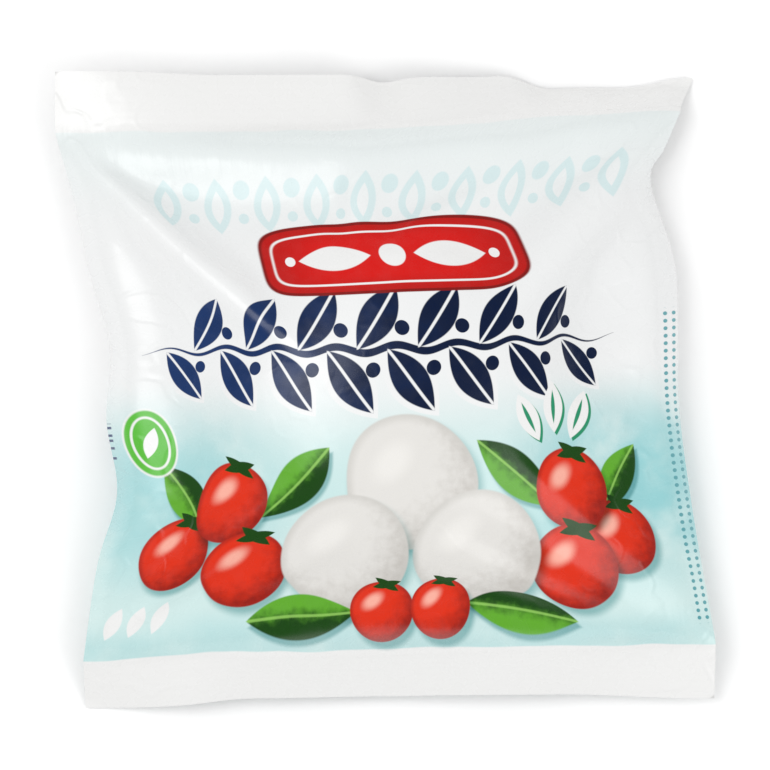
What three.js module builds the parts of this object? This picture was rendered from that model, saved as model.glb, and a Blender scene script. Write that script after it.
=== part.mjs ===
// A sealed film pouch of fresh mozzarella in brine, lying on its back on a table.
// Millimetres, +Z up, +Y towards the top seal. The origin is on the table, under the
// middle of the pouch.

import * as THREE from 'three';
import { mergeVertices } from 'three/addons/utils/BufferGeometryUtils.js';

const { clamp, degToRad, lerp, smoothstep } = THREE.MathUtils;

// The film as it leaves the packing machine: between the two side folds, and from cut to cut.
const FILM_WIDTH = 135;
const FILM_LENGTH = 143;
const SEAL_DEPTH = 13;
const SEAL_THICKNESS = 0.8;

// The back seam is a strip of doubled film, folded flat along the middle of the back.
const BACK_SEAM_WIDTH = 10;
const BACK_SEAM_RELIEF = 0.6;

// One cell of the grid that the film is divided into.
const CELL = 3.25;

// Heights above the table of the filled pouch.
const SEAL_HEIGHT = 12.5;
const CORNER_DROP = 4;
const SEAL_RIPPLE = 0.8;
const SEAL_RIPPLE_PITCH = 57;
const LIQUID_HEIGHT = 21.5;
const LOWEST_EDGE = 0.6;

// The ball props the film up: a cap of one radius, which runs out at another. The film is
// drawn towards four corners, so the rise is not round but a rounded square.
const BALL = { x: 2, y: -5.5, top: 37, capRadius: 8, footRadius: 54, squareness: 3.3 };

// How far in from the side folds and from the seals the faces curve over.
const TOP_ROUND_SIDE = 40;
const TOP_ROUND_END = 32;
const BACK_ROUND_SIDE = 34;
const BACK_ROUND_END = 46;

// Small upright puckers in the top film, where it is gathered by the seals.
const PUCKER_DEPTH = 0.7;
const PUCKER_PITCH = 26;
const PUCKER_REACH = 9;

// Each end seal: where its left and right ends are, the line of its inner edge, and how
// steeply it hangs in degrees. The lines are pairs of a place across the film and a value.
const TOP_SEAL = {
  left: -69.7,
  right: 65.4,
  edge: [[-67, 53.2], [-10, 53.6], [67, 58.2]],
  hang: [
    [-67, 0], [-32, 21], [-7, 22], [2, 39], [8, 33],
    [26, 40], [38, 61], [54, 65], [67, 56],
  ],
};
const BOTTOM_SEAL = {
  left: -63.8,
  right: 69.9,
  edge: [[-67, -58.4], [-38, -56.3], [32, -55.0], [67, -54.5]],
  hang: [[-67, 37], [-46, 30], [-32, 38], [34, 35], [67, 22]],
};

// The top right corner is curled inwards and down.
const CURL = { from: 40, inwards: 2.7, down: 3 };

// The side folds between the seals, as seen from above, from the top seal to the bottom one.
const LEFT_FOLD = [
  [-69.7, 53.2], [-65.2, 36.9], [-62.4, 23.2], [-58.1, 7.4],
  [-58.9, -7.4], [-56.6, -22.8], [-60.8, -38.0], [-63.8, -58.4],
];
const RIGHT_FOLD = [
  [62.7, 58.2], [59.2, 50.0], [56.2, 43.0], [61.5, 24.3],
  [62.1, -3.0], [65.0, -26.4], [69.9, -54.5],
];

const halfWidth = FILM_WIDTH / 2;
const halfLength = FILM_LENGTH / 2;
const sealLine = halfLength - SEAL_DEPTH;

function foldLine(corners) {
  return new THREE.SplineCurve(corners.map(([x, y]) => new THREE.Vector2(x, y)));
}

const leftFold = foldLine(LEFT_FOLD);
const rightFold = foldLine(RIGHT_FOLD);

// The value at a place on a smooth line through a few [place, value] pairs.
function smoothLine(pairs, place) {
  const after = pairs.findIndex(([start]) => start > place);
  const next = after < 0 ? pairs.length - 1 : Math.max(after, 1);
  const [start, from] = pairs[next - 1];
  const [end, to] = pairs[next];
  return lerp(from, to, smoothstep(place, start, end));
}

// A point of an end seal: u across the film, w out from the seal's inner edge.
function sealPoint(u, w, atTop) {
  const seal = atTop ? TOP_SEAL : BOTTOM_SEAL;
  const outwards = atTop ? 1 : -1;
  const angle = degToRad(smoothLine(seal.hang, u));
  const ripple = SEAL_RIPPLE * Math.sin((2 * Math.PI * u) / SEAL_RIPPLE_PITCH + outwards);
  const height = SEAL_HEIGHT - CORNER_DROP * Math.abs(u / halfWidth) ** 3 + ripple;
  const curl = atTop ? smoothstep(u, CURL.from, halfWidth) * (1 - smoothstep(w, 0, SEAL_DEPTH)) : 0;
  return new THREE.Vector3(
    lerp(seal.left, seal.right, u / FILM_WIDTH + 0.5) - CURL.inwards * curl,
    smoothLine(seal.edge, u) + outwards * w * Math.cos(angle),
    Math.max(height - w * Math.sin(angle) - CURL.down * curl, LOWEST_EDGE),
  );
}

// A point of the level where the top and the back part: u across, along 0 at the top seal
// and 1 at the bottom one.
function middlePoint(u, along) {
  const top = sealPoint(u, 0, true);
  const bottom = sealPoint(u, 0, false);
  const left = leftFold.getPointAt(along);
  const right = rightFold.getPointAt(along);
  const across = u / FILM_WIDTH + 0.5;
  const awayFromSeals = smoothstep(Math.min(along, 1 - along), 0, 0.2);
  const nearFold = Math.abs(u / halfWidth) ** 4;
  const straight = new THREE.Vector3().lerpVectors(top, bottom, along);
  return new THREE.Vector3(
    lerp(straight.x, lerp(left.x, right.x, across), Math.max(awayFromSeals, nearFold)),
    lerp(straight.y, lerp(left.y, right.y, across), nearFold),
    straight.z,
  );
}

// 0 at an edge, 1 from a given distance inwards, and a quarter of an ellipse between.
function rounded(distance, reach) {
  const rest = 1 - clamp(distance / reach, 0, 1);
  return Math.sqrt(1 - rest * rest);
}

// How far a point is from the ball's middle, measured so that a rounded square is level.
function fromBall({ x, y }) {
  const sides = Math.abs(x - BALL.x) ** BALL.squareness + Math.abs(y - BALL.y) ** BALL.squareness;
  return sides ** (1 / BALL.squareness);
}

function topHeight(point, u, v) {
  const fromFold = halfWidth - Math.abs(u);
  const fromSeal = sealLine - Math.abs(v);
  const fullness = rounded(fromFold, TOP_ROUND_SIDE) * rounded(fromSeal, TOP_ROUND_END);
  const liquid = lerp(point.z, LIQUID_HEIGHT, fullness);
  const prop = 1 - smoothstep(fromBall(point), BALL.capRadius, BALL.footRadius);
  const fade = Math.exp(-fromSeal / PUCKER_REACH) * rounded(fromFold, TOP_ROUND_SIDE);
  const pucker = PUCKER_DEPTH * fade * Math.sin((2 * Math.PI * u) / PUCKER_PITCH);
  return lerp(liquid, BALL.top, prop) + pucker;
}

function backHeight(point, u, v) {
  const fromFold = halfWidth - Math.abs(u);
  const fromSeal = sealLine - Math.abs(v);
  const fullness = rounded(fromFold, BACK_ROUND_SIDE) * rounded(fromSeal, BACK_ROUND_END);
  return lerp(point.z, 0, fullness);
}

// Half the thickness of the welded film, where the two faces meet.
const halfWeld = SEAL_THICKNESS / 2;

// Lays one point of the flat film, on its top or its back, where it is in the filled pouch.
function layDown(u, v, isTop) {
  const inSeal = Math.abs(v) >= sealLine;
  const atFold = Math.abs(u) >= halfWidth;
  const point = inSeal
    ? sealPoint(u, Math.abs(v) - sealLine, v > 0)
    : middlePoint(u, (sealLine - v) / (2 * sealLine));
  if (inSeal || atFold) {
    point.z += isTop ? halfWeld : -halfWeld;
  } else {
    point.z = isTop ? topHeight(point, u, v) : backHeight(point, u, v);
  }
  if (!isTop && Math.abs(u) < BACK_SEAM_WIDTH / 2 + CELL / 2) {
    point.z = Math.max(point.z - BACK_SEAM_RELIEF, 0);
  }
  return point;
}

function pouchGeometry() {
  // An even number of cells across keeps the back seam in the middle.
  const cellsAcross = 2 * Math.round(FILM_WIDTH / CELL / 2);
  const cellsAlong = Math.round(FILM_LENGTH / CELL);
  const box = new THREE.BoxGeometry(FILM_WIDTH, FILM_LENGTH, 1, cellsAcross, cellsAlong, 1);
  box.deleteAttribute('normal');
  box.deleteAttribute('uv');
  const geometry = mergeVertices(box, 0.01);
  const position = geometry.getAttribute('position');
  for (let i = 0; i < position.count; i += 1) {
    const point = layDown(position.getX(i), position.getY(i), position.getZ(i) > 0);
    position.setXYZ(i, point.x, point.y, point.z);
  }
  return geometry;
}

// Puts the middle of the outline over the origin, and the back on the table.
function centred(geometry) {
  geometry.computeBoundingBox();
  const { min, max } = geometry.boundingBox;
  geometry.translate(-(min.x + max.x) / 2, -(min.y + max.y) / 2, -min.z);
  geometry.computeVertexNormals();
  return geometry;
}

const film = new THREE.MeshStandardMaterial({ color: 0xe3eeee, roughness: 0.35, metalness: 0 });

const pouch = new THREE.Mesh(centred(pouchGeometry()), film);
pouch.name = 'pouch';

const pack = new THREE.Group();
pack.add(pouch);

export default pack;
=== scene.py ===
# %% [markdown]
# # A film pouch of fresh mozzarella
#
# The object is one bag of printed plastic film, welded shut at its top and bottom.
# A ball of fresh cheese and its brine fill it. It lies on its back, and the camera
# looks straight down on its front.
# A film bag could be modelled by hand, but its folds come from two things only:
# film that can't stretch, and what is inside it. So this lesson lets the cloth
# solver lay real, flat film over a ball and a liquid, and prints the film after that.

# %% Load the frame
import math

import bmesh
import bpy
import numpy as np
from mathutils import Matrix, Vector


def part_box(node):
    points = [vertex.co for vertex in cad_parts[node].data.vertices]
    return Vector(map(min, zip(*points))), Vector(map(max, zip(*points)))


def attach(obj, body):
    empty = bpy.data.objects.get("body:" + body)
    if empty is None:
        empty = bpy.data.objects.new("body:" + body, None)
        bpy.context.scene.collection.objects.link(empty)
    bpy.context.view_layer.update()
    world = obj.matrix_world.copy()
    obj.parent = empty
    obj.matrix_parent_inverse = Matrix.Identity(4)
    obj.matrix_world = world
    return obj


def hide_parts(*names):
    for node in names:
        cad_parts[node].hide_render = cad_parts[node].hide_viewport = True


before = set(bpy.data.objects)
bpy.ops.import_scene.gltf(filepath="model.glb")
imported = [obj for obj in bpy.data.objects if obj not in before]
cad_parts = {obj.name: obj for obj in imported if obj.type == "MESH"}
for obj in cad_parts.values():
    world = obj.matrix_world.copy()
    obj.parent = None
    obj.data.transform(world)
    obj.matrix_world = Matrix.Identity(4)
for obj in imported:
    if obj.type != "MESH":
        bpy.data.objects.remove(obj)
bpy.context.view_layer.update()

cad_low, cad_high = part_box("pouch")
cad_middle = (cad_low + cad_high) / 2
print("the pouch measures", [round(side * 1000, 1) for side in cad_high - cad_low], "mm")

# %% [markdown]
# ## The flat film
#
# Before it is filled, the bag is flat: two layers of film that meet at a fold on the
# left and on the right, and at a weld at the top and the bottom. Every point keeps
# its place on the flat film as two numbers in millimetres, `u` across and `v` up.
# The solver uses them as the size the film wants to have, and the print uses them
# as its paper.
# The two layers are one grid and its copy, with their rims merged. The rims are marked
# as sharp, so that the smoothing later on doesn't draw them in.

# %% Measures of the film, in millimetres
FILM_WIDTH = 135.0
FILM_LENGTH = 143.0
SEAL_DEPTH = 13.0
HALF_WIDTH = FILM_WIDTH / 2
HALF_LENGTH = FILM_LENGTH / 2
SEAL_LINE = HALF_LENGTH - SEAL_DEPTH
CELLS_ACROSS = 78
CELLS_ALONG = 88
TOUCH = 0.01


def flat_bag():
    """Two grids of film, merged round their rims, with the film's places stored on them."""
    bm = bmesh.new()
    is_back = bm.faces.layers.int.new("is_back")
    place = bm.verts.layers.float_vector.new("place")
    uv = bm.loops.layers.uv.new("film")
    sharp_edge = bm.edges.layers.float.new("crease_edge")
    sharp_corner = bm.verts.layers.float.new("crease_vert")
    bmesh.ops.create_grid(bm, x_segments=CELLS_ACROSS, y_segments=CELLS_ALONG, size=0.5)
    bmesh.ops.scale(bm, vec=(FILM_WIDTH, FILM_LENGTH, 1), verts=bm.verts)
    geometry = bm.verts[:] + bm.edges[:] + bm.faces[:]
    copied = bmesh.ops.duplicate(bm, geom=geometry)["geom"]
    back_faces = [part for part in copied if isinstance(part, bmesh.types.BMFace)]
    bmesh.ops.reverse_faces(bm, faces=back_faces)

    for vert in bm.verts:
        vert[place] = (vert.co.x, vert.co.y, 1)
    for face in back_faces:
        face[is_back] = 1
        for vert in face.verts:
            vert[place] = (vert.co.x, vert.co.y, -1)

    for face in bm.faces:
        side = math.copysign(1, face.calc_center_median().x)
        for loop in face.loops:
            across = loop.vert.co.x
            if face[is_back]:
                across = side * FILM_WIDTH - across
            loop[uv].uv = (across / FILM_WIDTH / 2 + 0.5, loop.vert.co.y / FILM_LENGTH + 0.5)

    def at_fold(vert):
        return abs(vert.co.x) > HALF_WIDTH - TOUCH

    def at_cut(vert):
        return abs(vert.co.y) > HALF_LENGTH - TOUCH

    rim = [vert for vert in bm.verts if at_fold(vert) or at_cut(vert)]
    bmesh.ops.remove_doubles(bm, verts=rim, dist=TOUCH)
    for edge in bm.edges:
        if all(map(at_fold, edge.verts)) or all(map(at_cut, edge.verts)):
            edge[sharp_edge] = 1
            edge.smooth = False
    for vert in bm.verts:
        if at_fold(vert) and at_cut(vert):
            vert[sharp_corner] = 1
    mesh = bpy.data.meshes.new("bag")
    bm.to_mesh(mesh)
    bm.free()
    return mesh


def read_places(mesh):
    """The u, v and layer of every vertex, as one array of three columns."""
    values = np.zeros(len(mesh.vertices) * 3)
    mesh.attributes["place"].data.foreach_get("vector", values)
    return values.reshape(-1, 3)


bag_mesh = flat_bag()
print("the flat bag has", len(bag_mesh.polygons), "faces")

# %% [markdown]
# ## How the filled bag lies
#
# The welded ends are stiff and hold their line. They droop towards the table, more
# steeply on the right, where the top corner is curled. The side folds run in and out.
# These lines were measured from above, so they are given: the seals by their
# inner edge and by how steeply they hang at a few places, and the folds by a few
# corners with a smooth curve through them. Everything between is left to the solver.

# %% Lines that the film is held along, in millimetres
SEAL_HEIGHT = 12.5
CORNER_DROP = 4.0
SEAL_RIPPLE = 0.8
SEAL_RIPPLE_PITCH = 57.0
LOWEST_EDGE = 0.8
TOP_SEAL = {
    "outwards": 1, "left": -69.7, "right": 65.4,
    "edge": [(-67, 53.2), (-10, 53.6), (67, 58.2)],
    "hang": [(-67, 0), (-32, 21), (-7, 22), (2, 39), (8, 33), (26, 40), (38, 61), (54, 65), (67, 56)],
}
BOTTOM_SEAL = {
    "outwards": -1, "left": -63.8, "right": 69.9,
    "edge": [(-67, -58.4), (-38, -56.3), (32, -55.0), (67, -54.5)],
    "hang": [(-67, 37), (-46, 30), (-32, 38), (34, 35), (67, 22)],
}
CURL_FROM, CURL_INWARDS, CURL_DOWN = 40.0, 2.7, 3.0
LEFT_FOLD = [
    (-69.7, 53.2), (-65.2, 36.9), (-62.4, 23.2), (-58.1, 7.4),
    (-58.9, -7.4), (-56.6, -22.8), (-60.8, -38.0), (-63.8, -58.4),
]
RIGHT_FOLD = [
    (62.7, 58.2), (59.2, 50.0), (56.2, 43.0), (61.5, 24.3), (62.1, -3.0), (65.0, -26.4), (69.9, -54.5),
]


def smoothstep(value, low, high):
    """0 below low, 1 above high, and an S curve between."""
    t = np.clip((value - low) / (high - low), 0, 1)
    return t * t * (3 - 2 * t)


def smooth_line(pairs, place):
    """The value at a place on a smooth line through a few (place, value) pairs."""
    places, values = np.array(pairs, float).T
    i = np.clip(np.searchsorted(places, place, side="right") - 1, 0, len(pairs) - 2)
    t = smoothstep(place, places[i], places[i + 1])
    return values[i] + (values[i + 1] - values[i]) * t


def seal_points(u, w, seal):
    """Points of an end seal: u across the film, w out from the seal's inner edge."""
    angle = np.radians(smooth_line(seal["hang"], u))
    ripple = SEAL_RIPPLE * np.sin(2 * np.pi * u / SEAL_RIPPLE_PITCH + seal["outwards"])
    height = SEAL_HEIGHT - CORNER_DROP * np.abs(u / HALF_WIDTH) ** 3 + ripple
    curl = smoothstep(u, CURL_FROM, HALF_WIDTH) * (1 - smoothstep(w, 0, SEAL_DEPTH))
    curl = curl * (seal["outwards"] > 0)
    x = seal["left"] + (seal["right"] - seal["left"]) * (u / FILM_WIDTH + 0.5) - CURL_INWARDS * curl
    y = smooth_line(seal["edge"], u) + seal["outwards"] * w * np.cos(angle)
    z = height - w * np.sin(angle) - CURL_DOWN * curl
    return np.stack([x, y, np.maximum(z, LOWEST_EDGE)], 1)


def fold_points(corners, along):
    """Points at shares of the length of a Catmull-Rom curve through the corners."""
    p = np.array(corners)
    p = np.vstack([p[0], p, p[-1]])
    t = np.linspace(0, len(corners) - 1, 400)
    i = np.clip(t.astype(int), 0, len(corners) - 2)
    f = (t - i)[:, None]
    p0, p1, p2, p3 = p[i], p[i + 1], p[i + 2], p[i + 3]
    curve = 0.5 * (
        2 * p1 + (p2 - p0) * f + (2 * p0 - 5 * p1 + 4 * p2 - p3) * f**2
        + (3 * p1 - p0 - 3 * p2 + p3) * f**3
    )
    steps = np.linalg.norm(np.diff(curve, axis=0), axis=1)
    length = np.r_[0, np.cumsum(steps)]
    wanted = along * length[-1]
    return np.interp(wanted, length, curve[:, 0]), np.interp(wanted, length, curve[:, 1])


print("a seal's corner lies at", seal_points(np.array([HALF_WIDTH]), 0.0, TOP_SEAL).round(1), "mm")

# %% [markdown]
# ## The start of the simulation
#
# The solver starts from a plain cushion shape between those lines, swollen a little
# too far, so that the film settles down onto the ball instead of being caught under
# it. `rest_shape_key` names the flat film, so that lengths are those of the flat bag
# whatever the start looks like. A film of 13 cm is tiny for the solver, which likes
# things the size of a shirt, so it all happens in units of 100 mm.

# %% The swollen start shape
SWELL_UP = 22.0
SWELL_DOWN = 12.5
WELD_GAP = 0.12


def start_shape(places):
    """Where every point of the film starts, in millimetres."""
    u, v, layer = places.T
    along = np.clip((SEAL_LINE - v) / (2 * SEAL_LINE), 0, 1)
    across = u / FILM_WIDTH + 0.5
    fold = np.abs(u / HALF_WIDTH)
    top = seal_points(u, 0.0, TOP_SEAL)
    bottom = seal_points(u, 0.0, BOTTOM_SEAL)
    left_x, left_y = fold_points(LEFT_FOLD, along)
    right_x, right_y = fold_points(RIGHT_FOLD, along)
    side_x = left_x + (right_x - left_x) * across
    side_y = left_y + (right_y - left_y) * across
    points = top + (bottom - top) * along[:, None]
    points[:, 0] = side_x
    points[:, 1] += (side_y - points[:, 1]) * fold**4
    swell = np.sqrt(np.clip(1 - np.abs(2 * along - 1) ** 2.4, 0, 1) * np.clip(1 - fold**2.4, 0, 1))
    points[:, 2] += swell * np.where(layer > 0, SWELL_UP, -SWELL_DOWN)
    on_rim = (fold > 1 - TOUCH / HALF_WIDTH) | (np.abs(v) > HALF_LENGTH - TOUCH)
    for seal in (TOP_SEAL, BOTTOM_SEAL):
        held = v * seal["outwards"] > SEAL_LINE - TOUCH
        points[held] = seal_points(u[held], np.abs(v[held]) - SEAL_LINE, seal)
        points[held & ~on_rim, 2] += layer[held & ~on_rim] * WELD_GAP
    return points


places = read_places(bag_mesh)
start = start_shape(places)
print("the start shape is", round(float(start[:, 2].max()), 1), "mm high")

# %% [markdown]
# ## Ball and table
#
# The solver needs something to lay the film on: the table, and the ball, which is soft
# and lies flattened under the taut film. Both are colliders that are deleted
# afterwards. Wet film slides over the ball, while the table grips it.

# %% Things that the film can't pass
SOLVER_MM = 0.01
BALL_CENTRE = (2.0, -5.0, 18.0)
BALL_SIZE = (76.0, 76.0, 36.0)


def collider(name, bm, gap, friction):
    """Turns a bmesh into a thing that the film can't pass."""
    mesh = bpy.data.meshes.new(name)
    bm.to_mesh(mesh)
    bm.free()
    thing = bpy.data.objects.new(name, mesh)
    bpy.context.collection.objects.link(thing)
    thing.modifiers.new("collide", "COLLISION")
    thing.collision.thickness_outer = gap
    thing.collision.thickness_inner = 0.05
    thing.collision.cloth_friction = friction
    return thing


def ball_collider():
    bm = bmesh.new()
    bmesh.ops.create_uvsphere(bm, u_segments=64, v_segments=32, radius=0.5 * SOLVER_MM)
    bmesh.ops.scale(bm, vec=BALL_SIZE, verts=bm.verts)
    bmesh.ops.translate(bm, vec=Vector(BALL_CENTRE) * SOLVER_MM, verts=bm.verts)
    return collider("ball", bm, gap=0.01, friction=1)


def table_collider():
    bm = bmesh.new()
    bmesh.ops.create_grid(bm, x_segments=1, y_segments=1, size=3)
    return collider("table", bm, gap=0.005, friction=5)


print("the ball is", BALL_SIZE[0], "mm wide and", BALL_SIZE[2], "mm high")

# %% [markdown]
# ## Film and liquid
#
# The liquid is the Cloth modifier's own fluid: `fluid_density` presses harder the
# deeper the film lies, which flattens the back on the table and lets the film round the
# ball sink, and `uniform_pressure_force` is the little air that stretches it. The film
# is stiff along itself and limp across, as plastic film is.

# %% The film as cloth
FILM_FRAMES = 26


def film_cloth(bag, flat_key):
    """The Cloth modifier of a thin, limp film with liquid under it."""
    cloth = bag.modifiers.new("film", "CLOTH")
    film = cloth.settings
    film.quality = 8
    film.mass = 0.02
    film.tension_stiffness = film.compression_stiffness = 60
    film.shear_stiffness = 40
    film.bending_model = "ANGULAR"
    film.bending_stiffness = 3
    film.tension_damping = film.compression_damping = film.shear_damping = 5
    film.bending_damping = 0.5
    film.air_damping = 2
    film.vertex_group_mass = "pins"
    film.pin_stiffness = 10
    film.rest_shape_key = flat_key
    film.use_pressure = True
    film.uniform_pressure_force = 0.8
    film.fluid_density = 1.0
    film.vertex_group_pressure = "belly"
    cloth.collision_settings.distance_min = 0.005
    cloth.collision_settings.collision_quality = 3
    cloth.point_cache.frame_end = FILM_FRAMES


print("the film settles in", FILM_FRAMES, "frames")

# %% [markdown]
# ## Settle the film
#
# Only the welds and the side folds are pinned. The solver leaves small steps from cell
# to cell, so the loose film is softened a little, and one level of subdivision rounds
# its folds. The result is kept as a plain mesh, and the helpers are removed.

# %% Run the solver
SOFTEN_PASSES = 12


def settle(mesh, places, start):
    """Runs the solver, smooths the film once, and gives back the settled mesh."""
    bag = bpy.data.objects.new("bag", mesh)
    bpy.context.collection.objects.link(bag)
    bag.shape_key_add(name="start").data.foreach_set("co", (start * SOLVER_MM).ravel())
    mesh.vertices.foreach_set("co", (start * SOLVER_MM).ravel())
    flat = places * [SOLVER_MM, SOLVER_MM, 0.001]
    flat_key = bag.shape_key_add(name="flat")
    flat_key.data.foreach_set("co", flat.ravel())

    in_seal = np.abs(places[:, 1]) > SEAL_LINE - TOUCH
    in_fold = np.abs(places[:, 0]) > HALF_WIDTH - TOUCH
    groups = {"pins": in_seal | in_fold, "belly": ~in_seal, "loose": ~in_seal & ~in_fold}
    for name, members in groups.items():
        group = bag.vertex_groups.new(name=name)
        group.add(np.flatnonzero(members).tolist(), 1.0, "REPLACE")

    helpers = [ball_collider(), table_collider()]
    film_cloth(bag, flat_key)
    scene = bpy.context.scene
    scene.frame_start, scene.frame_end = 1, FILM_FRAMES
    last = FILM_FRAMES
    for number in range(1, last + 1):
        scene.frame_set(number)
    soften = bag.modifiers.new("soften", "SMOOTH")
    soften.vertex_group = "loose"
    soften.iterations = SOFTEN_PASSES
    finer = bag.modifiers.new("finer", "SUBSURF")
    finer.levels = finer.render_levels = 1
    graph = bpy.context.evaluated_depsgraph_get()
    settled = bpy.data.meshes.new_from_object(bag.evaluated_get(graph))
    for thing in [bag, *helpers]:
        bpy.data.objects.remove(thing)
    scene.frame_set(1)
    return settled


film_mesh = settle(bag_mesh, places, start)
print("the settled film has", len(film_mesh.polygons), "faces")

# %% [markdown]
# ## Back to metres
#
# The settled film is scaled from solver units to metres, and its outline is centred
# on the box of the CAD pouch. Its back is pressed flat just above the table, with
# room for the doubled back seam under it.

# %% Place the film in the frame
BACK_CLEARANCE = 0.36
MM = 0.001


def place_film(mesh):
    """Moves the mesh into the CAD's box. Returns how far it was shifted, in metres."""
    count = len(mesh.vertices)
    points = np.zeros(count * 3)
    mesh.vertices.foreach_get("co", points)
    points = points.reshape(-1, 3) / SOLVER_MM * MM
    low, high = points.min(0), points.max(0)
    shift = np.array(cad_middle) - (low + high) / 2
    points[:, :2] += shift[:2]
    points[:, 2] = np.maximum(points[:, 2], BACK_CLEARANCE * MM)
    mesh.vertices.foreach_set("co", points.ravel())
    mesh.update()
    return shift


film_shift = place_film(film_mesh)
print("the film moved by", (film_shift[:2] * 1000).round(2), "mm")

# %% [markdown]
# ## The back seam
#
# The tube of film is closed along the middle of its back: its two edges are welded
# face to face and folded flat. So the seam is a doubled strip that lies on the back,
# held along its left side, and its ends are caught in the end seals. It is cut from a
# copy of the back itself, which makes it follow every fold, pushed out a little, and
# given its thickness with `bmesh.ops.solidify`.

# %% Fold the back seam
BACK_SEAM_WIDTH = 10.0
BACK_SEAM_GAP = 0.1
BACK_SEAM_THICKNESS = 0.18


def fold_back_seam(film_mesh):
    bm = bmesh.new()
    bm.from_mesh(film_mesh)
    is_back = bm.faces.layers.int["is_back"]
    place = bm.verts.layers.float_vector["place"]

    def on_strip(face):
        across = sum(vert[place].x for vert in face.verts) / len(face.verts)
        return face[is_back] and abs(across) < BACK_SEAM_WIDTH / 2

    others = [face for face in bm.faces if not on_strip(face)]
    bm.normal_update()
    normals = {vert: vert.normal.copy() for vert in bm.verts}
    bmesh.ops.delete(bm, geom=others, context="FACES")
    for vert in bm.verts:
        from_weld = vert[place].x + BACK_SEAM_WIDTH / 2
        vert.co += normals[vert] * BACK_SEAM_GAP * MM * smoothstep(from_weld, 0.0, 2.5)
        vert.co.z = max(vert.co.z, (BACK_CLEARANCE - BACK_SEAM_GAP) * MM)
    bmesh.ops.solidify(bm, geom=bm.faces[:], thickness=-BACK_SEAM_THICKNESS * MM)
    bmesh.ops.recalc_face_normals(bm, faces=bm.faces[:])
    mesh = bpy.data.meshes.new("back_seam")
    bm.to_mesh(mesh)
    bm.free()
    return mesh


seam_mesh = fold_back_seam(film_mesh)
print("the back seam has", len(seam_mesh.polygons), "faces")

# %% [markdown]
# ## Pieces on their body
#
# Both pieces ride on the one body. The film stands for the CAD solid, which stays
# hidden and keeps its collision.

# %% Add the pieces
def add_piece(name, mesh):
    for face in mesh.polygons:
        face.use_smooth = True
    piece = bpy.data.objects.new(name, mesh)
    bpy.context.collection.objects.link(piece)
    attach(piece, "root")
    return piece


film = add_piece("pouch_film", film_mesh)
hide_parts("pouch")
back_seam = add_piece("back_seam", seam_mesh)
print("pieces:", film.name, "and", back_seam.name)

# %% [markdown]
# ## Node helpers
#
# A print is many small sums on the place in the film, so a few helpers keep them
# short: `calc` adds one Math node, `paint` lays one colour over another where a mask
# says so, and `shader_group` makes a node group with named sockets. Cycles has room
# for 255 numbers while it works a shader out, and works nodes out in the order they
# were made in. Separate XYZ gets a hidden converter that comes last, which makes all
# the masks wait at once and turns the film black. So `split` uses dot products.

# %% Helpers for shader nodes
def ink(code):
    """A colour written as #rrggbb, as the linear values that a shader needs."""
    parts = [int(code[i:i + 2], 16) / 255 for i in (1, 3, 5)]
    return [p / 12.92 if p < 0.04045 else ((p + 0.055) / 1.055) ** 2.4 for p in parts] + [1.0]


def feed(tree, socket, value):
    """Links a socket to a value that is a socket, or sets it."""
    if isinstance(value, bpy.types.NodeSocket):
        tree.links.new(value, socket)
    else:
        socket.default_value = value


def calc(tree, operation, *values):
    node = tree.nodes.new("ShaderNodeMath")
    node.operation = operation
    for socket, value in zip(node.inputs, values):
        feed(tree, socket, value)
    return node.outputs[0]


def vector_calc(tree, operation, *values, output=0):
    node = tree.nodes.new("ShaderNodeVectorMath")
    node.operation = operation
    for socket, value in zip(node.inputs, values):
        feed(tree, socket, value)
    return node.outputs[output]


print("mid grey as linear light:", round(ink("#808080")[0], 3))

# %% Helpers for masks and colours
def ramp(tree, value, low, high):
    """0 where value is low, 1 where it is high, and an S curve between."""
    node = tree.nodes.new("ShaderNodeMapRange")
    node.interpolation_type = "SMOOTHSTEP"
    for socket, given in zip(node.inputs, (value, low, high)):
        feed(tree, socket, given)
    return node.outputs[0]


def paint(tree, below, above, mask):
    node = tree.nodes.new("ShaderNodeMix")
    node.data_type = "RGBA"
    feed(tree, node.inputs["Factor"], mask)
    feed(tree, node.inputs[6], below)
    feed(tree, node.inputs[7], above)
    return node.outputs[2]


def noise(tree, place, scale, detail=2.0):
    node = tree.nodes.new("ShaderNodeTexNoise")
    feed(tree, node.inputs["Vector"], place)
    node.inputs["Scale"].default_value = scale
    node.inputs["Detail"].default_value = detail
    return node.outputs["Fac"]


def split(tree, vector):
    """The x and the y of a vector."""
    return [vector_calc(tree, "DOT_PRODUCT", vector, axis, output=1) for axis in ((1, 0, 0), (0, 1, 0))]


def join(tree, x, y):
    node = tree.nodes.new("ShaderNodeCombineXYZ")
    feed(tree, node.inputs[0], x)
    feed(tree, node.inputs[1], y)
    return node.outputs[0]


print("a ramp is a Map Range node, and paint is a Mix node")

# %% Helpers for node groups
SOCKETS = {"Value": "NodeSocketFloat", "Vector": "NodeSocketVector", "Colour": "NodeSocketColor"}


def shader_group(name, takes, gives):
    """A new node group. takes and gives map socket names to Value, Vector or Colour."""
    tree = bpy.data.node_groups.new(name, "ShaderNodeTree")
    for socket, kind in takes.items():
        tree.interface.new_socket(socket, in_out="INPUT", socket_type=SOCKETS[kind])
    for socket, kind in gives.items():
        tree.interface.new_socket(socket, in_out="OUTPUT", socket_type=SOCKETS[kind])
    entry = tree.nodes.new("NodeGroupInput")
    leave = tree.nodes.new("NodeGroupOutput")
    return tree, entry.outputs, leave.inputs


def use(tree, name, **values):
    """Places a group in a tree. An underscore in a keyword stands for a space."""
    node = tree.nodes.new("ShaderNodeGroup")
    node.node_tree = bpy.data.node_groups[name]
    for key, value in values.items():
        feed(tree, node.inputs[key.replace("_", " ")], value)
    return node.outputs


print("sockets of the groups:", list(SOCKETS))

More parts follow.
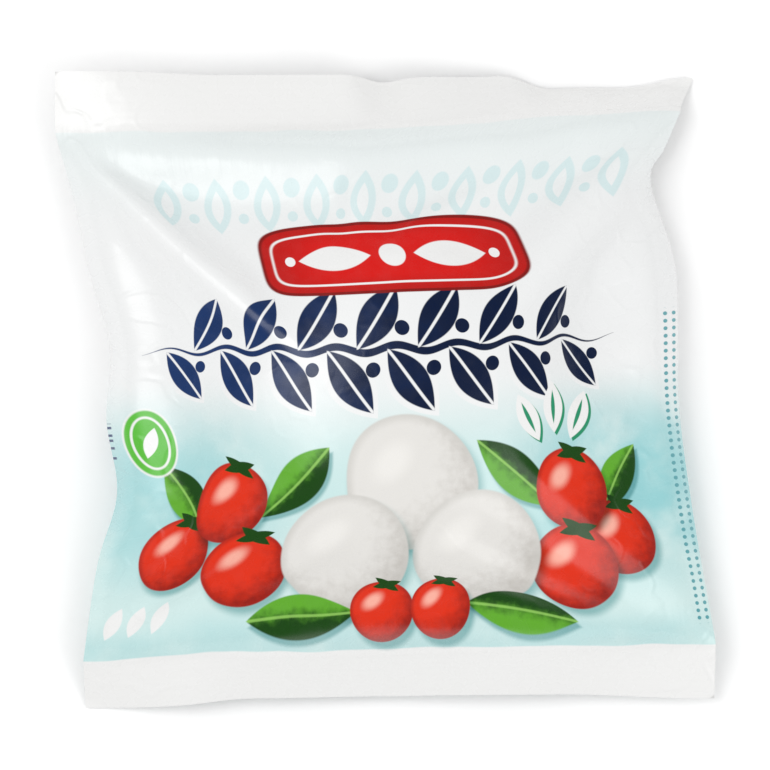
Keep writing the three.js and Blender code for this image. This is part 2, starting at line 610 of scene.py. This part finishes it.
# %% [markdown]
# ## Three simple shapes
#
# Everything in the print is made of three shapes: an oval, a pointed leaf and a bar
# with round corners. Each group moves the place to the shape's own middle, turns it,
# and measures it against the shape's half size, so one group serves at any place,
# size and angle.

# %% Groups for an oval, a leaf and a bar
SHAPE_INPUTS = {
    "Place": "Vector", "Centre": "Vector", "Half Size": "Vector", "Turn": "Value", "Edge": "Value",
}


def own_place(tree, given):
    """The place seen from the shape: 1 is its half size along each of its own axes."""
    moved = vector_calc(tree, "SUBTRACT", given["Place"], given["Centre"])
    turned = tree.nodes.new("ShaderNodeVectorRotate")
    turned.rotation_type = "Z_AXIS"
    tree.links.new(moved, turned.inputs["Vector"])
    tree.links.new(calc(tree, "MULTIPLY", given["Turn"], -1.0), turned.inputs["Angle"])
    return vector_calc(tree, "DIVIDE", turned.outputs[0], given["Half Size"])


def give_mask(tree, given, result, depth):
    """Depth runs from 0 in the middle to 1 on the outline; Edge softens the outline."""
    inner = calc(tree, "SUBTRACT", 1.0, given["Edge"])
    outer = calc(tree, "ADD", 1.0, given["Edge"])
    tree.links.new(ramp(tree, depth, outer, inner), result["Mask"])
    tree.links.new(depth, result["Depth"])


def make_oval_group():
    tree, given, result = shader_group("oval", SHAPE_INPUTS, {"Mask": "Value", "Depth": "Value"})
    give_mask(tree, given, result, vector_calc(tree, "LENGTH", own_place(tree, given), output=1))


def make_leaf_group():
    gives = {"Mask": "Value", "Depth": "Value", "Across": "Value"}
    tree, given, result = shader_group("leaf", SHAPE_INPUTS, gives)
    x, y = split(tree, own_place(tree, given))
    taper = calc(tree, "MULTIPLY", x, x)
    width = calc(tree, "ABSOLUTE", y)
    give_mask(tree, given, result, calc(tree, "ADD", taper, width))
    tree.links.new(y, result["Across"])


def make_bar_group():
    tree, given, result = shader_group("bar", SHAPE_INPUTS, {"Mask": "Value", "Depth": "Value"})
    x, y = split(tree, own_place(tree, given))
    powers = [calc(tree, "POWER", calc(tree, "ABSOLUTE", side), 5.0) for side in (x, y)]
    total = calc(tree, "ADD", *powers)
    give_mask(tree, given, result, calc(tree, "POWER", total, 1 / 5.0))


make_oval_group()
make_leaf_group()
make_bar_group()
print("shape groups:", [group.name for group in bpy.data.node_groups])

# %% [markdown]
# ## Printed balls, berries and leaves
#
# The picture on the lower front is a plain frieze of its own: white balls in a
# pyramid, red berries and green leaves. Each motif is a group that takes the colour
# below it and lays itself on top, shaded like a soft airbrush print: lit from the
# upper left, darker towards the lower right and at its rim.

# %% Groups for the motifs
BALL_INKS = ("#d6d4d0", "#b0aca6", "#c0beb9", "#e4e2de")
BERRY_INKS = ("#d62a08", "#7c1007", "#981a0d", "#f3b8a6")
LEAF_INKS = ("#5ca328", "#16440c", "#93c95f")
CAST_TEAL = ink("#8cbbbc")


def cast_shadow(tree, given, shape, step, **sizes):
    """The colour below a motif, darkened by the motif's narrow shadow."""
    centre = vector_calc(tree, "ADD", given["Centre"], step)
    cast = use(tree, shape, Place=given["Place"], Centre=centre, Edge=0.12, **sizes)
    shaded = paint(tree, given["Below"], CAST_TEAL, calc(tree, "MULTIPLY", cast["Mask"], 0.8))
    shaded.node.blend_type = "MULTIPLY"
    return shaded


def round_motif(name, inks, shine, has_cap):
    """A shaded disc. The inks are its light, shade, rim and shine, and shine is how strong that is."""
    light, shade, rim, glint = map(ink, inks)
    takes = {
        "Below": "Colour", "Place": "Vector", "Grain": "Value", "Centre": "Vector", "Radius": "Value",
    }
    tree, given, result = shader_group(name, takes, {"Colour": "Colour"})
    size = join(tree, given["Radius"], given["Radius"])
    below = cast_shadow(tree, given, "oval", (0.9, -1.5, 0.0), Half_Size=size)
    disc = use(tree, "oval", Place=given["Place"], Centre=given["Centre"], Half_Size=size, Edge=0.02)

    def offset(share, direction=(-0.62, 0.7, 0.0)):
        step = vector_calc(tree, "SCALE", direction)
        feed(tree, step.node.inputs["Scale"], calc(tree, "MULTIPLY", given["Radius"], share))
        return vector_calc(tree, "ADD", given["Centre"], step)

    lit = use(tree, "oval", Place=given["Place"], Centre=offset(0.5), Half_Size=size, Edge=0.0)
    depth = calc(tree, "MULTIPLY_ADD", given["Grain"], 0.7, lit["Depth"])
    colour = paint(tree, light, shade, ramp(tree, depth, 0.95, 2.05))
    colour = paint(tree, colour, rim, calc(tree, "MULTIPLY", ramp(tree, disc["Depth"], 0.84, 1.0), 0.7))
    glow_size = vector_calc(tree, "MULTIPLY", size, (0.34, 0.2, 1.0))
    glow = use(
        tree, "oval", Place=given["Place"], Centre=offset(0.45), Half_Size=glow_size, Turn=0.7, Edge=0.6,
    )
    colour = paint(tree, colour, glint, calc(tree, "MULTIPLY", glow["Mask"], shine))
    colour = paint(tree, below, colour, disc["Mask"])
    if has_cap:
        cap_size = vector_calc(tree, "MULTIPLY", size, (0.46, 0.13, 1.0))
        for turn in (0.15, 2.5):
            cap = use(
                tree, "leaf", Place=given["Place"], Centre=offset(0.88, (0.2, 1.0, 0.0)),
                Half_Size=cap_size, Turn=turn, Edge=0.1,
            )
            colour = paint(tree, colour, ink(LEAF_INKS[1]), cap["Mask"])
    tree.links.new(colour, result["Colour"])


def leaf_motif():
    light, shade, rib = map(ink, LEAF_INKS)
    takes = {
        "Below": "Colour", "Place": "Vector", "Grain": "Value",
        "Centre": "Vector", "Half Size": "Vector", "Turn": "Value",
    }
    tree, given, result = shader_group("print_leaf", takes, {"Colour": "Colour"})
    leaf = use(
        tree, "leaf", Place=given["Place"], Centre=given["Centre"],
        Half_Size=given["Half Size"], Turn=given["Turn"], Edge=0.05,
    )
    below = cast_shadow(
        tree, given, "leaf", (0.6, -1.1, 0.0), Half_Size=given["Half Size"], Turn=given["Turn"],
    )
    height = calc(tree, "MULTIPLY_ADD", given["Grain"], 0.9, leaf["Across"])
    colour = paint(tree, shade, light, ramp(tree, height, 0.1, 0.95))
    rib_mask = ramp(tree, calc(tree, "ABSOLUTE", leaf["Across"]), 0.1, 0.02)
    colour = paint(tree, colour, rib, calc(tree, "MULTIPLY", rib_mask, 0.7))
    tree.links.new(paint(tree, below, colour, leaf["Mask"]), result["Colour"])


round_motif("print_ball", BALL_INKS, 0.6, has_cap=False)
round_motif("print_berry", BERRY_INKS, 0.8, has_cap=True)
leaf_motif()
print("motif groups:", [group.name for group in bpy.data.node_groups][3:])

# %% [markdown]
# ## The print
#
# A printer lays one ink over another, and so do the next steps, from the ground up.
# `s` is the place across the printed film, which runs on round the side folds to the
# back, and `v` is the place along it. All places and sizes are millimetres on the flat
# film, so the print bends and shortens with it. A span is a lowest and a highest value,
# and a fade is the place where it starts and the place where it is complete.

# %% Inks, and masks for a stretch and a box
GROUND_WHITE = ink("#e0e1e1")
GROUND_AQUA = ink("#c5dcda")
CLOUD_AQUA = ink("#8ec5c8")
SEAL_WHITE = ink("#e1e1e0")
BORDER_AQUA = ink("#c9dadb")
PLAQUE_RED = ink("#cd0e08")
PLAQUE_RIM = ink("#7f0e0a")
NAVY = ink("#153263")
NAVY_DEEP = ink("#021638")
MINT = ink("#248a63")
SPOT_GREEN = ink("#58b43a")
RULE_TEAL = ink("#4c959d")


def both(tree, one, other):
    return calc(tree, "MULTIPLY", one, other)


def within(tree, value, low, high, soft=0.15):
    """1 where the value is between low and high."""
    return both(tree, ramp(tree, value, low - soft, low + soft), ramp(tree, value, high + soft, high - soft))


def in_box(tree, x, y, spans):
    """1 where both values are in their spans."""
    return both(tree, within(tree, x, *spans[0]), within(tree, y, *spans[1]))


print("the white ink reflects", round(GROUND_WHITE[1], 2), "of green light")

# %% [markdown]
# ## The ground
#
# The ground is white in its upper half and turns a pale aqua below, like a sprayed
# backdrop. A band of soft clouds deepens it beside the picture, most of all at the
# right. The welds are left unprinted, and the print's edge wavers a little there.

# %% The ground of the print
UPPER_FADE = (34.0, 60.0)
LOWER_FADE = (6.0, -20.0)
BAND_TOP = (3.0, -19.0)
BAND_FOOT = (-50.0, -28.0)
LEFT_FADE = (-18.0, -50.0)
RIGHT_FADE = (18.0, 50.0)
FOOT_FADE = (-49.0, -56.0)


def print_ground(tree, place, s, v):
    """White that turns a pale aqua, with deeper clouds in a band and along the lower seal."""
    upper = calc(tree, "MULTIPLY", ramp(tree, v, *UPPER_FADE), 0.25)
    lower = ramp(tree, v, *LOWER_FADE)
    colour = paint(tree, GROUND_WHITE, GROUND_AQUA, calc(tree, "MAXIMUM", upper, lower))
    band = both(tree, ramp(tree, v, *BAND_TOP), ramp(tree, v, *BAND_FOOT))
    at_right = calc(tree, "MULTIPLY_ADD", ramp(tree, s, *RIGHT_FADE), 0.85, 0.15)
    at_sides = calc(tree, "MULTIPLY_ADD", ramp(tree, s, *LEFT_FADE), 0.6, at_right)
    foot = calc(tree, "MULTIPLY", ramp(tree, v, *FOOT_FADE), 0.4)
    clouds = ramp(tree, noise(tree, place, 0.07, 5.0), 0.22, 0.58)
    deep = both(tree, clouds, calc(tree, "MAXIMUM", both(tree, band, at_sides), foot))
    colour = paint(tree, colour, CLOUD_AQUA, deep)
    waver = calc(tree, "MULTIPLY_ADD", noise(tree, place, 0.07, 1.0), 1.6, -0.8)
    from_middle = calc(tree, "ADD", calc(tree, "ABSOLUTE", v), waver)
    beyond_seals = ramp(tree, from_middle, SEAL_LINE - 0.2, SEAL_LINE + 0.2)
    return paint(tree, colour, SEAL_WHITE, beyond_seals)


print("the aqua starts at v =", LOWER_FADE[0])

# %% [markdown]
# ## Border and plaque
#
# One drop and two dots make the whole border: `WRAP` starts `s` again at every pitch, so
# a single group repeats along the film. The plaque is a bar inside a bar, and a white
# line is what is left of one mask when a smaller one is taken off.

# %% A border of drops and a red plaque
BORDER_MIDDLE = 45.0
BORDER_PITCH = 11.5
BORDER_SPAN = (-49.6, 61.0)
BORDER_DOTS = [(48.5, 1.9), (42.5, 1.2)]
PLAQUE = (4.0, 31.0)
PLAQUE_SIZES = [(31.0, 9.2, 1), (30.2, 8.5, 1), (28.3, 7.0, 1), (27.8, 6.5, 1)]
PLAQUE_MARKS = [
    ("oval", 0.0, (3.0, 3.0, 1)), ("leaf", -13.5, (8.5, 3.2, 1)), ("leaf", 13.5, (8.5, 3.2, 1)),
    ("oval", -24.0, (1.2, 1.2, 1)), ("oval", 24.0, (1.2, 1.2, 1)),
]


def print_border(tree, colour, s, v):
    """A row of pale drops with two dots between each two."""
    half = BORDER_PITCH / 2
    upright = join(tree, v, calc(tree, "WRAP", s, half, -half))
    middle = (BORDER_MIDDLE, 0, 0)
    drop = use(tree, "leaf", Place=upright, Centre=middle, Half_Size=(6.0, 3.1, 1), Edge=0.08)
    core = use(tree, "leaf", Place=upright, Centre=middle, Half_Size=(3.6, 1.4, 1), Edge=0.1)
    shapes = calc(tree, "SUBTRACT", drop["Mask"], core["Mask"])
    between = join(tree, calc(tree, "WRAP", calc(tree, "ADD", s, half), half, -half), v)
    for y, radius in BORDER_DOTS:
        dot = use(tree, "oval", Place=between, Centre=(0, y, 0), Half_Size=(radius, radius, 1), Edge=0.1)
        shapes = calc(tree, "MAXIMUM", shapes, dot["Mask"])
    return paint(tree, colour, BORDER_AQUA, both(tree, shapes, within(tree, s, *BORDER_SPAN)))


def print_plaque(tree, colour, place):
    """A plain red plaque: a white line inside its rim, and a dot between two leaves."""
    centre = (*PLAQUE, 0)
    rim = use(tree, "bar", Place=place, Centre=centre, Half_Size=PLAQUE_SIZES[0], Edge=0.012)
    colour = paint(tree, colour, PLAQUE_RIM, rim["Mask"])
    bar = use(tree, "bar", Place=place, Centre=centre, Half_Size=PLAQUE_SIZES[1], Edge=0.012)
    red = paint(tree, PLAQUE_RED, PLAQUE_RIM, both(tree, ramp(tree, bar["Depth"], 0.5, 1.0), 0.4))
    colour = paint(tree, colour, red, bar["Mask"])
    line = use(tree, "bar", Place=place, Centre=centre, Half_Size=PLAQUE_SIZES[2], Edge=0.012)
    inside = use(tree, "bar", Place=place, Centre=centre, Half_Size=PLAQUE_SIZES[3], Edge=0.012)
    ring = calc(tree, "SUBTRACT", line["Mask"], inside["Mask"])
    colour = paint(tree, colour, SEAL_WHITE, ring)
    for shape, x, half_size in PLAQUE_MARKS:
        middle = (PLAQUE[0] + x, PLAQUE[1], 0)
        mark = use(tree, shape, Place=place, Centre=middle, Half_Size=half_size, Edge=0.05)
        colour = paint(tree, colour, SEAL_WHITE, mark["Mask"])
    return colour


print("the border has", int((BORDER_SPAN[1] - BORDER_SPAN[0]) / BORDER_PITCH) + 1, "drops")

# %% [markdown]
# ## The sprig
#
# Leaves, berries and stem each give a depth that is 1 on their outline. The smallest
# of these depths is one shape made of all of them, so a pale halo and the navy ink both
# come from it, and no leaf is outlined across another. The navy ink carries a painted
# reflection: it runs from a clear navy at the left to nearly black at the right, with a noise in it.

# %% A navy sprig
SPRIG_MIDDLE = 9.2
SPRIG_PITCH = 14.0
SPRIG_REACH = 54.0
SPRIG_CENTRE = -3.0


def sprig_row(tree, s, v, shift, side):
    """One side of the sprig, repeated along it: its depth, as in give_mask, and its veins."""
    x = calc(tree, "WRAP", calc(tree, "SUBTRACT", s, shift), SPRIG_PITCH / 2, -SPRIG_PITCH / 2)
    share = calc(tree, "DIVIDE", calc(tree, "SUBTRACT", s, x), SPRIG_REACH)
    size = calc(tree, "MULTIPLY_ADD", both(tree, share, share), -0.3, 1.0)
    y = calc(tree, "DIVIDE", calc(tree, "SUBTRACT", v, SPRIG_MIDDLE), size)
    own = join(tree, calc(tree, "DIVIDE", x, size), y)
    leaf = use(
        tree, "leaf", Place=own, Centre=(0, 7.1 * side, 0),
        Half_Size=(9.0, 3.9, 1), Turn=0.9 * side, Edge=0.05,
    )
    berry = use(tree, "oval", Place=own, Centre=(5.2, 4.6 * side, 0), Half_Size=(1.7, 1.7, 1), Edge=0.05)
    beyond = calc(tree, "GREATER_THAN", calc(tree, "ABSOLUTE", share), 1.0)
    depth = calc(tree, "ADD", calc(tree, "MINIMUM", leaf["Depth"], berry["Depth"]), both(tree, beyond, 9.0))
    vein = both(tree, ramp(tree, calc(tree, "ABSOLUTE", leaf["Across"]), 0.12, 0.05), leaf["Mask"])
    return depth, vein


def print_sprig(tree, colour, place, s, v):
    """A navy sprig with a pale halo: a wavy stem, and leaves by turns on its two sides."""
    # Painted reflection: the navy ink is lighter towards the left, with a noise in it.
    painted_reflection_along = calc(tree, "MULTIPLY_ADD", noise(tree, place, 0.12, 2.0), 60.0, s)
    navy = paint(tree, NAVY, NAVY_DEEP, ramp(tree, painted_reflection_along, -25.0, 45.0))
    s = calc(tree, "SUBTRACT", s, SPRIG_CENTRE)
    above, vein_above = sprig_row(tree, s, v, 0.0, 1)
    below, vein_below = sprig_row(tree, s, v, SPRIG_PITCH / 2, -1)
    turn = calc(tree, "MULTIPLY", s, 2 * math.pi / SPRIG_PITCH)
    wave = calc(tree, "MULTIPLY_ADD", calc(tree, "SINE", turn), 0.8, SPRIG_MIDDLE)
    off = calc(tree, "ABSOLUTE", calc(tree, "SUBTRACT", v, wave))
    share = calc(tree, "DIVIDE", s, SPRIG_REACH + 4)
    thin = calc(tree, "MULTIPLY_ADD", both(tree, share, share), -0.9, 0.9)
    stem = calc(tree, "ADD", calc(tree, "DIVIDE", calc(tree, "SUBTRACT", off, thin), 2.9), 1.0)
    beyond = calc(tree, "GREATER_THAN", calc(tree, "ABSOLUTE", share), 1.0)
    stem = calc(tree, "ADD", stem, both(tree, beyond, 9.0))
    depth = calc(tree, "MINIMUM", calc(tree, "MINIMUM", above, below), stem)
    colour = paint(tree, colour, GROUND_WHITE, ramp(tree, depth, 1.4, 1.3))
    colour = paint(tree, colour, navy, ramp(tree, depth, 1.04, 0.96))
    return paint(tree, colour, GROUND_WHITE, calc(tree, "MAXIMUM", vein_above, vein_below))


print("the sprig reaches", SPRIG_REACH, "mm to each side")

# %% [markdown]
# ## The frieze
#
# The heap is laid down as a painter would, the things behind first. A ball or a berry
# is its place and its radius, and a leaf its place, its half length, its half width and
# its turn. They share one noise, which saves some of the 255 numbers.

# %% Balls, berries and leaves
BALLS = [(2.5, -20.5, 15.2), (17.5, -37.0, 14.3), (-12.0, -37.0, 14.3)]
BERRIES = [
    (-51.5, -35.5, 8.2), (50.5, -34.5, 8.2), (-40.5, -24.5, 9.0), (40.5, -23.5, 9.0),
    (-34.5, -41.0, 9.6), (39.0, -41.0, 9.6),
]
FRONT_BERRIES = [(-3.6, -50.2, 6.8), (9.0, -50.4, 6.4)]
LEAVES = [
    (-24.0, -20.0, 11.5, 4.8, 0.75), (27.0, -19.5, 11.5, 4.8, 2.4),
    (-52.5, -22.5, 8.5, 3.8, 2.2), (52.5, -21.5, 8.5, 3.8, 0.95),
]
FRONT_LEAVES = [(-21.0, -52.0, 12.0, 4.4, 0.12), (26.5, -52.0, 12.0, 4.4, 3.0)]


def print_leaves(tree, colour, place, grain, leaves):
    for x, y, length, width, turn in leaves:
        leaf = use(
            tree, "print_leaf", Below=colour, Place=place, Grain=grain, Centre=(x, y, 0),
            Half_Size=(length, width, 1), Turn=turn,
        )
        colour = leaf["Colour"]
    return colour


def print_rounds(tree, colour, place, grain, group, rounds):
    for x, y, radius in rounds:
        motif = use(tree, group, Below=colour, Place=place, Grain=grain, Centre=(x, y, 0), Radius=radius)
        colour = motif["Colour"]
    return colour


def print_frieze(tree, colour, place):
    """Balls, berries and leaves, from the ones behind to the ones in front."""
    grain = noise(tree, place, 0.5, 4.0)
    colour = print_leaves(tree, colour, place, grain, LEAVES)
    colour = print_rounds(tree, colour, place, grain, "print_berry", BERRIES)
    colour = print_rounds(tree, colour, place, grain, "print_ball", BALLS)
    colour = print_leaves(tree, colour, place, grain, FRONT_LEAVES)
    return print_rounds(tree, colour, place, grain, "print_berry", FRONT_BERRIES)


print("the frieze has", len(BALLS), "balls and", len(BERRIES + FRONT_BERRIES), "berries")

# %% [markdown]
# ## Small marks
#
# The spot is four ovals of two inks, the smaller ones on top. A mint drop is a white
# leaf over a green one that is shifted a little, which reads as a shadow.

# %% A green spot, drops and dotted rules
SPOT = (-59.5, -10.5, 0)
SPOT_RINGS = [
    ((5.0, 7.6, 1), SEAL_WHITE), ((4.6, 7.2, 1), SPOT_GREEN),
    ((3.5, 5.9, 1), SEAL_WHITE), ((3.0, 5.4, 1), SPOT_GREEN),
]
MINT_DROPS = [(31.5, -7.5, 2.0), (38.0, -5.5, 1.57), (44.5, -7.5, 1.14)]
MINT_SHADOW_STEP = 0.6
WHITE_DROPS = [(-62.0, -50.5), (-57.0, -50.5), (-52.0, -50.5)]
DOTTED_RULES = (64.8, 66.6)
DOTTED_SPAN = (-54.0, 14.0)
DOT_RADIUS = 0.42
DOT_PITCH = 1.6


def print_small_marks(tree, colour, place, s, v):
    """A green spot and white drops at the left, mint drops and dotted rules at the right."""
    for half_size, tone in SPOT_RINGS:
        spot = use(tree, "oval", Place=place, Centre=SPOT, Half_Size=half_size, Turn=0.2, Edge=0.04)
        colour = paint(tree, colour, tone, spot["Mask"])
    leaf = use(tree, "leaf", Place=place, Centre=SPOT, Half_Size=(3.4, 1.3, 1), Turn=1.3, Edge=0.08)
    colour = paint(tree, colour, SEAL_WHITE, leaf["Mask"])
    for x, y, turn in MINT_DROPS:
        for step, tone in ((MINT_SHADOW_STEP, MINT), (0.0, SEAL_WHITE)):
            drop = use(
                tree, "leaf", Place=place, Centre=(x + step, y - step, 0),
                Half_Size=(5.6, 2.5, 1), Turn=turn, Edge=0.05,
            )
            colour = paint(tree, colour, tone, drop["Mask"])
        vein = use(
            tree, "leaf", Place=place, Centre=(x, y, 0),
            Half_Size=(3.6, 0.5, 1), Turn=turn, Edge=0.2,
        )
        colour = paint(tree, colour, MINT, vein["Mask"])
    for x, y in WHITE_DROPS:
        drop = use(
            tree, "leaf", Place=place, Centre=(x, y, 0),
            Half_Size=(3.8, 1.7, 1), Turn=1.2, Edge=0.1,
        )
        colour = paint(tree, colour, SEAL_WHITE, drop["Mask"])
    dotted = join(tree, s, calc(tree, "WRAP", v, DOT_PITCH / 2, -DOT_PITCH / 2))
    dot_size = (DOT_RADIUS, DOT_RADIUS, 1)
    for x in DOTTED_RULES:
        dot = use(tree, "oval", Place=dotted, Centre=(x, 0, 0), Half_Size=dot_size, Edge=0.2)
        colour = paint(tree, colour, RULE_TEAL, both(tree, dot["Mask"], within(tree, v, *DOTTED_SPAN)))
    return colour


print("a rule has", int((DOTTED_SPAN[1] - DOTTED_SPAN[0]) / DOT_PITCH), "dots")

# %% [markdown]
# ## The back
#
# The back carries a plain panel of rules, and a few bars run round the left fold, where
# their ends show from above. White noise of a whole number is the same each time, so it
# settles which bars are inked.

# %% The back panel
BACK_PANEL = ((84.0, 128.0), (-34.0, 44.0))
BACK_LINES = ((87.0, 125.0), (-32.0, 42.0))
LINE_PITCH = 2.6
BARS = ((-80.0, -66.6), (-14.0, -6.0))
BARS_IN_A_MM = 1.8


def print_back(tree, colour, s, v):
    """Plain rules on a panel, and a few bars at the left fold."""
    on_back = calc(tree, "ABSOLUTE", s)
    colour = paint(tree, colour, SEAL_WHITE, in_box(tree, on_back, v, BACK_PANEL))
    rows = calc(tree, "WRAP", v, LINE_PITCH / 2, -LINE_PITCH / 2)
    rule = within(tree, rows, -0.25, 0.25, 0.1)
    lines = both(tree, rule, in_box(tree, on_back, v, BACK_LINES))
    colour = paint(tree, colour, RULE_TEAL, both(tree, lines, 0.8))
    step = calc(tree, "FLOOR", calc(tree, "MULTIPLY", v, BARS_IN_A_MM))
    draw = tree.nodes.new("ShaderNodeTexWhiteNoise")
    draw.noise_dimensions = "1D"
    tree.links.new(step, draw.inputs["W"])
    bars = calc(tree, "GREATER_THAN", draw.outputs["Value"], 0.5)
    return paint(tree, colour, NAVY, both(tree, bars, in_box(tree, s, v, BARS)))


print("the back panel is", BACK_PANEL[1][1] - BACK_PANEL[1][0], "mm high")

# %% [markdown]
# ## The film's surface
#
# Printed polyethylene has a soft gloss. Its roughness changes a little from place to
# place, and it is never quite smooth: besides the big folds, which are in the mesh,
# it has a faint crinkle, sharp little creases near the side folds, and short upright
# puckers where it runs into the welds. A crease is where a noise crosses its middle
# value. The jaws that weld the film leave very fine ribs. All of it goes into one Bump
# node, in true heights.

# %% The film material
SMOOTHEST = 0.22
ROUGHNESS_SPREAD = 0.1
CRINKLE_HEIGHT = 0.2
CREASE_HEIGHT = 0.03
CREASE_HEIGHT_MORE = 0.11
PUCKER_HEIGHT = 0.35
PUCKER_REACH = 11.0
RIB_PITCH = 1.6
RIB_HEIGHT = 0.008


def film_places(tree):
    """The place on the printed film in millimetres, from the piece's own UV map."""
    uv = tree.nodes.new("ShaderNodeUVMap")
    uv.uv_map = "film"
    mapping = tree.nodes.new("ShaderNodeMapping")
    mapping.inputs["Location"].default_value = (-FILM_WIDTH, -HALF_LENGTH, 0)
    mapping.inputs["Scale"].default_value = (2 * FILM_WIDTH, FILM_LENGTH, 1)
    tree.links.new(uv.outputs[0], mapping.inputs["Vector"])
    place = mapping.outputs[0]
    return place, *split(tree, place)


def film_relief(tree, place, s, v):
    """The height in millimetres of the crinkle, its creases, the puckers and the ribs."""
    crinkle = calc(tree, "MULTIPLY", noise(tree, place, 0.1, 3.0), CRINKLE_HEIGHT)
    off_crease = calc(tree, "MULTIPLY_ADD", noise(tree, place, 0.09, 1.5), 2.0, -1.0)
    crease = ramp(tree, calc(tree, "ABSOLUTE", off_crease), 0.12, 0.0)
    near_folds = ramp(tree, calc(tree, "ABSOLUTE", s), 34.0, 60.0)
    crease_height = calc(tree, "MULTIPLY_ADD", near_folds, CREASE_HEIGHT_MORE, CREASE_HEIGHT)
    crinkle = calc(tree, "ADD", crinkle, both(tree, crease, crease_height))
    stretched = join(tree, s, calc(tree, "MULTIPLY", v, 0.12))
    gathered = calc(tree, "MULTIPLY", noise(tree, stretched, 0.5, 2.0), PUCKER_HEIGHT)
    from_seal = calc(tree, "SUBTRACT", SEAL_LINE, calc(tree, "ABSOLUTE", v))
    near_seal = both(tree, ramp(tree, from_seal, PUCKER_REACH, 0.0), ramp(tree, from_seal, -2.0, 0.0))
    relief = calc(tree, "ADD", crinkle, both(tree, gathered, near_seal))
    rib = calc(tree, "SINE", calc(tree, "MULTIPLY", v, 2 * math.pi / RIB_PITCH))
    rib = both(tree, calc(tree, "MULTIPLY", rib, RIB_HEIGHT), ramp(tree, from_seal, 0.0, -1.0))
    return calc(tree, "ADD", relief, rib)


def film_material(name, printed):
    material = bpy.data.materials.new(name)
    material.use_nodes = True
    tree = material.node_tree
    shader = tree.nodes["Principled BSDF"]
    place, s, v = film_places(tree)
    colour = print_ground(tree, place, s, v)
    if printed:
        colour = print_border(tree, colour, s, v)
        colour = print_sprig(tree, colour, place, s, v)
        colour = print_plaque(tree, colour, place)
        colour = print_frieze(tree, colour, place)
        colour = print_small_marks(tree, colour, place, s, v)
        colour = print_back(tree, colour, s, v)
    tree.links.new(colour, shader.inputs["Base Color"])
    rough = ramp(tree, noise(tree, place, 0.3, 2.0), 0.2, 0.8)
    rough = calc(tree, "MULTIPLY_ADD", rough, ROUGHNESS_SPREAD, SMOOTHEST)
    tree.links.new(rough, shader.inputs["Roughness"])
    shader.inputs["IOR"].default_value = 1.5
    bump = tree.nodes.new("ShaderNodeBump")
    bump.inputs["Strength"].default_value = 0.6
    bump.inputs["Distance"].default_value = MM
    tree.links.new(film_relief(tree, place, s, v), bump.inputs["Height"])
    tree.links.new(bump.outputs[0], shader.inputs["Normal"])
    return material


film_mesh.materials.append(film_material("printed_film", True))
seam_mesh.materials.append(film_material("seam_film", False))
print("materials:", [m.name for m in bpy.data.materials if m.name.endswith("film")])

# %% [markdown]
# ## Table, light and camera
#
# The pouch lies on a plain pale table under soft studio light: a broad panel above
# and to the upper left, a weaker one at the right, and a pale surround. A studio is
# dark beside its panels, so the surround is dimmer in reflections, or its mirror image
# would veil the dark inks. The camera looks straight down from 90 cm. Its lens is
# chosen so that the 770 pixels of the picture span 162.4 mm at the height of the side
# folds.

# %% Stage the table
TABLE_REACH = 2.0


def stage_table():
    bm = bmesh.new()
    bmesh.ops.create_grid(bm, x_segments=1, y_segments=1, size=TABLE_REACH)
    mesh = bpy.data.meshes.new("table_top")
    bm.to_mesh(mesh)
    bm.free()
    table = bpy.data.objects.new("table_top", mesh)
    bpy.context.collection.objects.link(table)
    material = bpy.data.materials.new("pale_table")
    material.use_nodes = True
    tree = material.node_tree
    shader = tree.nodes["Principled BSDF"]
    coordinates = tree.nodes.new("ShaderNodeTexCoord")
    grain = noise(tree, coordinates.outputs["Object"], 9.0)
    colour = paint(tree, ink("#f4f4f4"), ink("#f8f8f8"), grain)
    tree.links.new(colour, shader.inputs["Base Color"])
    shader.inputs["Roughness"].default_value = 0.8
    mesh.materials.append(material)


stage_table()
print("the table reaches", TABLE_REACH, "m each way")

# %% Lights
PANELS = [("main_panel", (-0.5, 0.2, 0.9), 0.6, 3.6), ("side_panel", (0.6, -0.4, 0.7), 0.6, 2.2)]
SURROUND = 0.85
SURROUND_IN_GLOSS = 0.12


def area_light(name, place, size, power):
    light = bpy.data.lights.new(name, "AREA")
    light.shape = "SQUARE"
    light.size = size
    light.energy = power
    lamp = bpy.data.objects.new(name, light)
    bpy.context.collection.objects.link(lamp)
    lamp.location = place
    lamp.rotation_euler = (-Vector(place)).to_track_quat("-Z", "Y").to_euler()


def light_surround(strength, strength_in_gloss):
    """An even pale surround, which is dimmer where the film mirrors it."""
    world = bpy.data.worlds.new("surround")
    bpy.context.scene.world = world
    world.use_nodes = True
    tree = world.node_tree
    background = tree.nodes["Background"]
    background.inputs["Color"].default_value = (1, 1, 1, 1)
    path = tree.nodes.new("ShaderNodeLightPath")
    dimming = strength_in_gloss - strength
    level = calc(tree, "MULTIPLY_ADD", path.outputs["Is Glossy Ray"], dimming, strength)
    tree.links.new(level, background.inputs["Strength"])


for panel in PANELS:
    area_light(*panel)
light_surround(SURROUND, SURROUND_IN_GLOSS)
bpy.context.scene.view_settings.view_transform = "Standard"
print("the panels give", [power for *_, power in PANELS], "W")

# %% Camera
CAMERA_HEIGHT = 0.9
PICTURE_WIDTH = 0.1624
PICTURE_PLANE = 0.010

camera = bpy.data.objects.new("camera", bpy.data.cameras.new("camera"))
bpy.context.collection.objects.link(camera)
camera.location = (film_shift[0], film_shift[1], CAMERA_HEIGHT)
camera.data.sensor_width = 36
camera.data.lens = 36 * (CAMERA_HEIGHT - PICTURE_PLANE) / PICTURE_WIDTH
bpy.context.scene.camera = camera
print("the lens is", round(camera.data.lens), "mm long")

# %% [markdown]
# ## Finish
#
# The last step brings the view layer up to date.

# %% Finish
bpy.context.view_layer.update()
